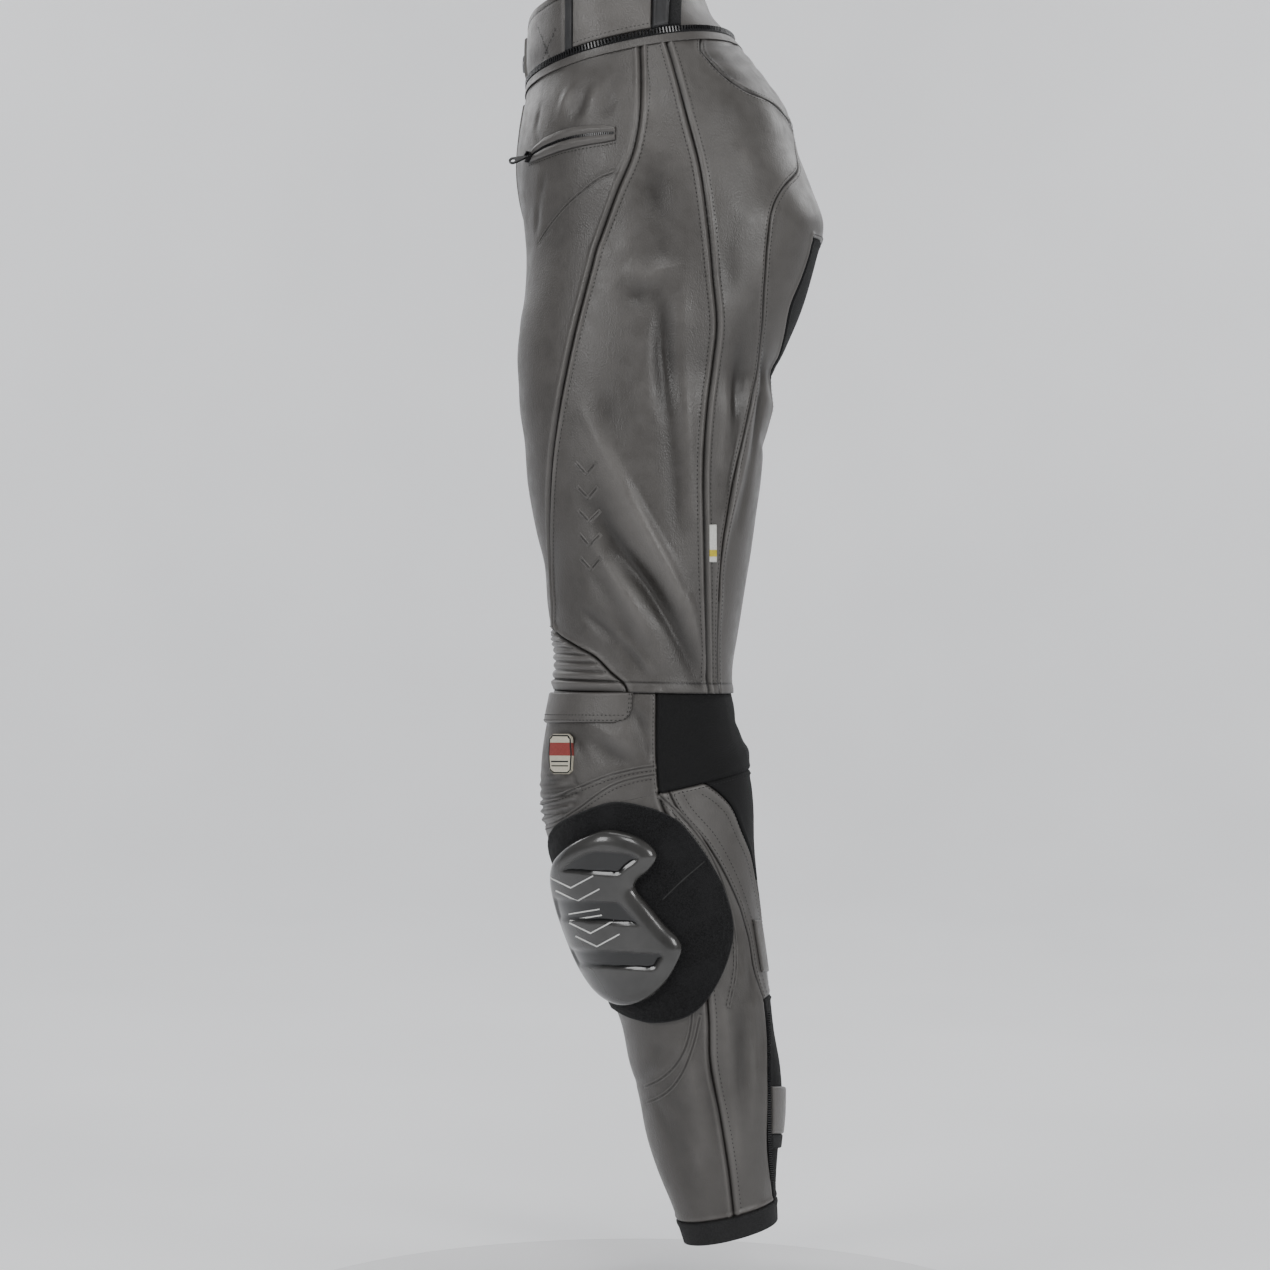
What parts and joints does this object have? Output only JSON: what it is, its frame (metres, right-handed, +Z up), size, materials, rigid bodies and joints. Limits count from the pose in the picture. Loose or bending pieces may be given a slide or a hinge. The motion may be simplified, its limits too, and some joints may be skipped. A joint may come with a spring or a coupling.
{
  "type": "leather motorcycle trousers",
  "caption": "Leather motorcycle trousers in worn form with knee sliders, ribbed stretch over the knees, zipped hip pockets and a jacket zip round the waist.",
  "frame": {"origin": "middle of the waist, level with the side of the zip line under the waistband", "axes": "+Z up, -Y the way the wearer faces, +X the wearer's left"},
  "size_m": [0.3972, 0.2637, 1.0622],
  "materials": {
    "leather": "grained satin",
    "stretch": "matt woven stretch",
    "hook_loop": "matt looped pile",
    "slider": "glossy moulded",
    "zip_tape": "woven tape with moulded teeth",
    "zip_metal": "darkened metal",
    "rubber": "moulded matt",
    "badge": "close embroidery",
    "label": "woven",
    "binding": "matt woven binding"
  },
  "bodies": {
    "trousers": {"front_thigh_left": "leather", "front_thigh_right": "leather", "side_thigh_left": "leather", "side_thigh_right": "leather", "back_thigh_left": "leather", "back_thigh_right": "leather", "seat_panel_left": "leather", "seat_panel_right": "leather", "inner_thigh_left": "stretch", "inner_thigh_right": "stretch", "knee_accordion_left": "leather", "knee_accordion_right": "leather", "knee_flap_left": "leather", "knee_flap_right": "leather", "knee_panel_left": "leather", "knee_panel_right": "leather", "knee_badge_left": "badge", "knee_badge_right": "badge", "knee_back_left": "stretch", "knee_back_right": "stretch", "knee_band_left": "leather", "knee_band_right": "leather", "shin_panel_left": "leather", "shin_panel_right": "leather", "calf_panel_left": "leather", "calf_panel_right": "leather", "calf_stretch_left": "stretch", "calf_stretch_right": "stretch", "inner_calf_left": "leather", "inner_calf_right": "leather", "calf_tab_left": "leather", "calf_tab_right": "leather", "hem_binding_left": "binding", "hem_binding_right": "binding", "slider_base_left": "hook_loop", "slider_base_right": "hook_loop", "knee_slider_left": "slider", "knee_slider_right": "slider", "pocket_welt_left": "leather", "pocket_welt_right": "leather", "pocket_slider_left": "zip_metal", "pocket_slider_right": "zip_metal", "belt_strap_left": "leather", "belt_strap_right": "leather", "strap_tab_left": "rubber", "strap_tab_right": "rubber", "strap_end_left": "hook_loop", "strap_end_right": "hook_loop", "waistband_front_left": "leather", "waistband_front_right": "leather", "waistband_back": "leather", "connection_zip": "zip_tape", "back_yoke": "stretch", "fly_flap": "leather", "waist_tab": "leather", "waist_snap": "zip_metal", "side_label": "label"},
    "pocket_pull_left": {"pocket_pull_left": "zip_metal"},
    "pocket_pull_right": {"pocket_pull_right": "zip_metal"}
  },
  "joints": [
    {"name": "pull_turn_left", "type": "hinge", "parent": "trousers", "child": "pocket_pull_left", "pos_m": [0.12517, -0.077, -0.0893], "axis": [0.5942, 0.256, -0.7625], "range_deg": [-120, 50]},
    {"name": "pull_turn_right", "type": "hinge", "parent": "trousers", "child": "pocket_pull_right", "pos_m": [-0.12517, -0.077, -0.0893], "axis": [0.5942, -0.256, 0.7625], "range_deg": [-120, 50]}
  ]
}
